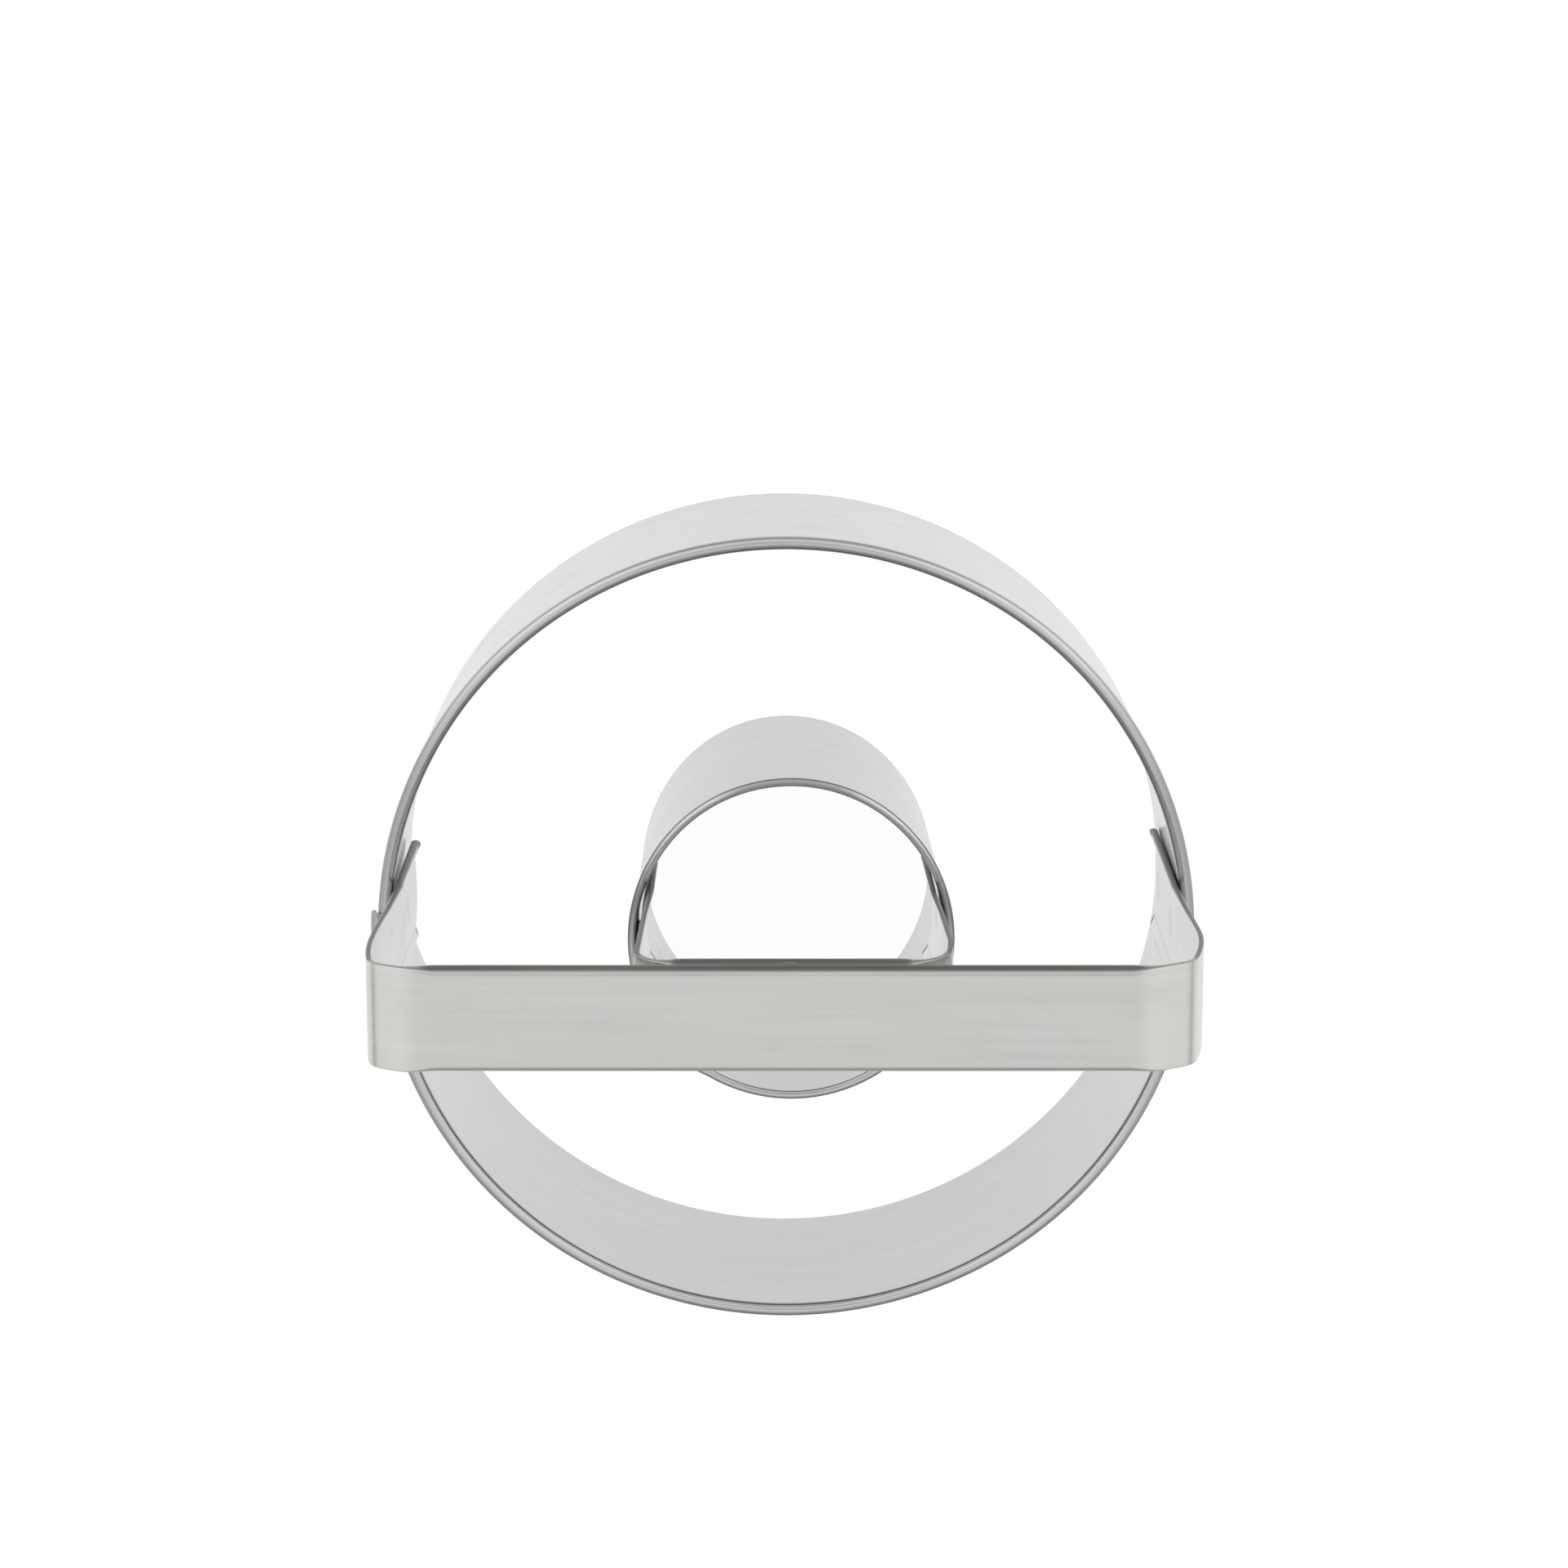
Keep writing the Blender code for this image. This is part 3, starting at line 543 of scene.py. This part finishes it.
def strip_steel(name, colour, rough, seed, streak=1.0, grime=1.0, edge=0.30, inner=None):
    """Cold-rolled stainless strip: fine rolling lines along it, soft smudges, handling scratches, heat tint, and
    painted shade along its rolled edges.
    """
    mat = bpy.data.materials.new(name)
    mat.use_nodes = True
    t = Tree(mat.node_tree)
    bsdf = mat.node_tree.nodes["Principled BSDF"]
    place = t.add("ShaderNodeAttribute", attribute_name="strip")
    vec = place.outputs["Vector"]
    heat = t.add("ShaderNodeAttribute", attribute_name="heat").outputs["Fac"]
    edge_shade = t.add("ShaderNodeAttribute", attribute_name="shade_and_smudge").outputs["Fac"]

    fine = t.streaks(vec, 60.0, 9000.0, 2.0, seed)
    mid = t.streaks(vec, 45.0, 1500.0, 4.0, seed + 5.0)
    broad = t.streaks(vec, 22.0, 260.0, 3.0, seed + 9.0)
    cloud = t.streaks(vec, 90.0, 120.0, 4.0, seed + 13.0)
    smudge = t.streaks(vec, 210.0, 260.0, 5.0, seed + 17.0)
    scratch = t.streaks(vec, 110.0, 5200.0, 1.0, seed + 21.0)

    # colour: mean tone, drawn out light and dark lines, and soft clouds a little warmer or cooler
    lines = t.math("ADD", t.math("MULTIPLY", t.math("SUBTRACT", mid, 0.5), 0.16 * streak),
                   t.math("MULTIPLY", t.math("SUBTRACT", broad, 0.5), 0.10 * streak))
    lines = t.math("ADD", lines, t.math("MULTIPLY", t.math("SUBTRACT", fine, 0.5), 0.06 * streak))
    tone = t.math("ADD", lines, 1.0)
    base = t.mix(t.span(cloud, 0.35, 0.65, 0.0, 1.0), tuple(c * f for c, f in zip(colour, (0.985, 0.990, 1.010))),
                 tuple(c * f for c, f in zip(colour, (1.012, 1.006, 0.985))))
    if inner:                                                          # the back and the turned-in hems have a lighter, cooler colour
        parts = t.add("ShaderNodeSeparateXYZ")
        t.join(vec, parts.inputs[0])
        base = t.mix(parts.outputs[2], base, inner)
    grey = t.add("ShaderNodeCombineColor")
    for i in range(3):
        t.join(tone, grey.inputs[i])
    base = t.mix(1.0, base, grey.outputs[0], "MULTIPLY")
    shade_and_smudge = t.span(smudge, 0.56, 0.72, 0.0, 0.10 * grime)
    base = t.mix(shade_and_smudge, base, tuple(c * 0.80 for c in colour))
    # painted shade and reflection: the colour is painted dark along the rolled edges and beside the legs, and darker at
    # the cut ends
    base = t.mix(t.math("MULTIPLY", edge_shade, t.span(broad, 0.35, 0.65, 0.85, 1.0)), base,
                 tuple(c * edge for c in colour))
    # straw to blue tint where the sheet was welded
    straw = t.span(heat, 0.05, 0.45, 0.0, 0.55)
    base = t.mix(straw, base, (0.50, 0.40, 0.26))
    blue = t.span(heat, 0.45, 0.95, 0.0, 0.70)
    base = t.mix(blue, base, (0.27, 0.29, 0.34))
    t.join(base, bsdf.inputs["Base Color"])

    # gloss: rolled lines catch light, smudges are duller
    r = t.math("ADD", t.math("MULTIPLY", t.math("SUBTRACT", mid, 0.5), 0.14), rough)
    r = t.math("ADD", r, t.math("MULTIPLY", t.math("SUBTRACT", cloud, 0.5), 0.10))
    r = t.math("ADD", r, t.math("MULTIPLY", shade_and_smudge, 0.5))
    r = t.math("ADD", r, t.math("MULTIPLY", edge_shade, 0.14))
    r = t.math("ADD", r, t.math("MULTIPLY", heat, 0.12), clamp=True)
    t.join(r, bsdf.inputs["Roughness"])
    bsdf.inputs["Metallic"].default_value = 1.0

    # relief: rolling lines a few microns deep, and stray scratches
    height = t.math("ADD", t.math("MULTIPLY", fine, 0.45), t.math("MULTIPLY", mid, 0.80))
    height = t.math("SUBTRACT", height, t.span(scratch, 0.70, 0.78, 0.0, 0.8))
    height = t.math("ADD", height, t.math("MULTIPLY", smudge, 0.5))
    bump = t.add("ShaderNodeBump")
    bump.inputs["Strength"].default_value = 0.22
    bump.inputs["Distance"].default_value = 0.000025
    t.join(height, bump.inputs["Height"])
    t.join(bump.outputs[0], bsdf.inputs["Normal"])
    return mat


def weld_metal(name, seed, level=1.0):
    """Small cast surface, dull grey with straw and blue patches."""
    mat = bpy.data.materials.new(name)
    mat.use_nodes = True
    t = Tree(mat.node_tree)
    bsdf = mat.node_tree.nodes["Principled BSDF"]
    where = t.add("ShaderNodeTexCoord").outputs["Object"]
    blot = t.streaks(where, 1400.0, 1400.0, 4.0, seed)
    grain = t.streaks(where, 6000.0, 6000.0, 3.0, seed + 3.0)
    base = t.mix(t.span(blot, 0.38, 0.62, 0.0, 1.0), tuple(c * level for c in (0.42, 0.42, 0.43)),
                 tuple(c * level for c in (0.56, 0.54, 0.50)))
    base = t.mix(t.span(grain, 0.60, 0.75, 0.0, 0.5), base, tuple(c * level for c in (0.30, 0.31, 0.34)))
    t.join(base, bsdf.inputs["Base Color"])
    t.join(t.span(blot, 0.3, 0.7, 0.30, 0.48), bsdf.inputs["Roughness"])
    bsdf.inputs["Metallic"].default_value = 1.0
    bump = t.add("ShaderNodeBump")
    bump.inputs["Strength"].default_value = 0.35
    bump.inputs["Distance"].default_value = 0.00004
    t.join(grain, bump.inputs["Height"])
    t.join(bump.outputs[0], bsdf.inputs["Normal"])
    return mat


# ---- the pieces ---------------------------------------------------------------------------------------------
ring_steel = strip_steel("rolled_strip_large", (0.556, 0.559, 0.566), 0.20, 3.0, streak=0.8, edge=0.60)
hole_steel = strip_steel("rolled_strip_small", (0.560, 0.562, 0.566), 0.22, 31.0, streak=0.8, edge=0.60)
handle_steel = strip_steel("brushed_strap", (0.590, 0.584, 0.560), 0.30, 57.0, edge=0.32,
                           inner=(0.655, 0.660, 0.668))
carrier_steel = strip_steel("brushed_strap_small", (0.580, 0.576, 0.560), 0.30, 83.0, edge=0.32,
                            inner=(0.755, 0.760, 0.765))
bead_steel = weld_metal("weld_bead", 7.0, 0.50)

outer = ring("large_ring_sheet", OUTER_RADIUS, OUTER_HEIGHT, OUTER_ROLL, RING_SHEET, OUTER_LAP, 3.75,
             (64, 22, 1.0), OUTER_SEAT, OUTER_SPOTS, OUTER_SEAM_SPOTS, 1.55,
             [(180.0, HANDLE[0]["leg"]), (0.0, HANDLE[1]["leg"])], (1.1, 1.7, 1.1, 1.7), 11)
hole = ring("centre_ring_sheet", HOLE_RADIUS, HOLE_HEIGHT, HOLE_ROLL, HOLE_SHEET, HOLE_LAP, 6.0,
            (66, 20, 1.6), HOLE_SEAT, HOLE_SPOTS, HOLE_SEAM_SPOTS, 1.15,
            [(180.0, BRACKET[0]["leg"]), (0.0, BRACKET[1]["leg"])], (1.1, 1.7, 2.0, 2.8), 12)
handle = strap("handle_sheet", HANDLE, TOP, OUTER_HEIGHT, OUTER_RADIUS, OUTER_SEAT, OUTER_SPOTS, 1.55, 13,
               (0.38, 0.82))
carrier = strap("centre_ring_strap_sheet", BRACKET, TOP - BAR_ROLL - STACK_GAP, HOLE_HEIGHT, HOLE_RADIUS, HOLE_SEAT,
                HOLE_SPOTS, 1.15, 14, (0.10, 0.45))
for piece, mat, node, slot in ((outer, ring_steel, "outer_ring", "large_ring_steel"),
                               (hole, hole_steel, "centre_ring", "centre_ring_steel"),
                               (handle, handle_steel, "handle_strap", "handle_steel"),
                               (carrier, carrier_steel, "centre_ring_strap", "carrier_steel")):
    piece.data.materials.append(mat)
    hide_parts(node)
    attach(piece, "root")

for sign, place, seed in ((1.0, "back", 1.3), (-1.0, "front", 4.1)):
    bead = weld_bead("bar_tack_bead_" + place, sign, seed)
    bead.data.materials.append(bead_steel)
    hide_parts("bar_tack_weld_" + place)
    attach(bead, "root")

nugget_steel = weld_metal("weld_nugget", 19.0)
for node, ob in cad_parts.items():
    if "weld" in node and not ob.hide_render:
        ob.data.materials.clear()
        ob.data.materials.append(nugget_steel)

# ---- floor, light and camera --------------------------------------------------------------------------------
floor_mesh = bpy.data.meshes.new("floor")
side = 12.0
floor_mesh.from_pydata([(-side, -side, -0.00002), (side, -side, -0.00002), (side, side, -0.00002),
                        (-side, side, -0.00002)], [], [(0, 1, 2, 3)])
floor = bpy.data.objects.new("floor", floor_mesh)
bpy.context.scene.collection.objects.link(floor)
mat = bpy.data.materials.new("floor_white")
mat.use_nodes = True
t = Tree(mat.node_tree)
for n in list(mat.node_tree.nodes):
    mat.node_tree.nodes.remove(n)
where = t.add("ShaderNodeNewGeometry").outputs["Position"]
squeeze = t.add("ShaderNodeVectorMath", operation="MULTIPLY")
squeeze.inputs[1].default_value = (0.20, 1.0, 1.0)
t.join(where, squeeze.inputs[0])
reach = t.add("ShaderNodeVectorMath", operation="LENGTH")
t.join(squeeze.outputs[0], reach.inputs[0])
lit = t.span(reach.outputs["Value"], 0.058, 0.125, 0.86, 0.22)      # painted light: the floor glows, brightest under the object and fading towards the dark of the room; camera rays see it evenly white
seen = t.add("ShaderNodeLightPath").outputs["Is Camera Ray"]
glow = t.add("ShaderNodeEmission", Color=(1.0, 1.0, 1.0, 1.0))
t.join(t.math("MAXIMUM", lit, t.math("MULTIPLY", seen, 0.90)), glow.inputs["Strength"])
matte = t.add("ShaderNodeBsdfDiffuse", Color=(0.24, 0.24, 0.24, 1.0))
both = t.add("ShaderNodeAddShader")
end = t.add("ShaderNodeOutputMaterial")
t.join(glow.outputs[0], both.inputs[0])
t.join(matte.outputs[0], both.inputs[1])
t.join(both.outputs[0], end.inputs[0])
floor_mesh.materials.append(mat)

TOWARDS = (0.0, 0.2595, 0.9657)          # the direction that the photograph was taken from, seen from the object

world = bpy.data.worlds.new("studio")
bpy.context.scene.world = world
world.use_nodes = True
t = Tree(world.node_tree)
for n in list(world.node_tree.nodes):
    world.node_tree.nodes.remove(n)
way = t.add("ShaderNodeTexCoord").outputs["Generated"]
unit = t.add("ShaderNodeVectorMath", operation="NORMALIZE")
t.join(way, unit.inputs[0])


def facing(direction):
    node = t.add("ShaderNodeVectorMath", operation="DOT_PRODUCT")
    t.join(unit.outputs[0], node.inputs[0])
    node.inputs[1].default_value = direction
    return node.outputs["Value"]


def lobe(direction, inner, outer, low, high):
    """Value that goes from high to low between two angles, in degrees, off a direction."""
    size = math.sqrt(sum(c * c for c in direction))
    value = facing(tuple(c / size for c in direction))
    return t.span(value, math.cos(math.radians(outer)), math.cos(math.radians(inner)), low, high)


height = facing((0.0, 0.0, 1.0))
across = t.math("ABSOLUTE", facing((1.0, 0.0, 0.0)))
front = facing((0.0, -1.0, 0.0))
low = t.math("ADD", t.span(across, 0.30, 0.80, 0.0, 0.66), t.span(front, -0.5, 0.5, 0.50, 0.30))
low = t.math("MINIMUM", low, 0.96)
up = t.span(height, 0.10, 0.62, 0.0, 1.0)                           # a room darker low down, white tent above
sky = t.math("ADD", t.math("MULTIPLY", low, t.math("SUBTRACT", 1.0, up)), t.math("MULTIPLY", up, 0.98))
sky = t.math("SUBTRACT", sky, lobe(TOWARDS, 6.0, 20.0, 0.0, 0.34))  # the camera in front of it
for side_x in (-1.0, 1.0):                                          # a softbox on either side
    sky = t.math("ADD", sky, lobe((0.62 * side_x, 0.50, 0.62), 10.0, 34.0, 0.0, 0.32))
    sky = t.math("ADD", sky, lobe((0.75 * side_x, -0.26, 0.60), 10.0, 34.0, 0.0, 0.14))
ray = t.add("ShaderNodeLightPath").outputs["Is Camera Ray"]
level = t.math("MAXIMUM", sky, ray)
shade = t.add("ShaderNodeCombineColor")
for i in range(3):
    t.join(level, shade.inputs[i])
back = t.add("ShaderNodeBackground")
out = t.add("ShaderNodeOutputWorld")
t.join(shade.outputs[0], back.inputs["Color"])
t.join(back.outputs[0], out.inputs[0])


cam_data = bpy.data.cameras.new("camera")
cam = bpy.data.objects.new("camera", cam_data)
cam_data.sensor_width = 36.0
cam_data.lens = 5967.6 / 1920.0 * 36.0
cam_data.clip_start, cam_data.clip_end = 0.01, 50.0
cam.location = (-0.00024, 0.15387, 0.53691)
cam.rotation_euler = (-0.2625, 0.0, 0.0)
bpy.context.scene.collection.objects.link(cam)
bpy.context.scene.camera = cam

settings = bpy.context.scene.view_settings
settings.view_transform = "Standard"
settings.look = "None"
settings.exposure = 0.0
settings.gamma = 1.0
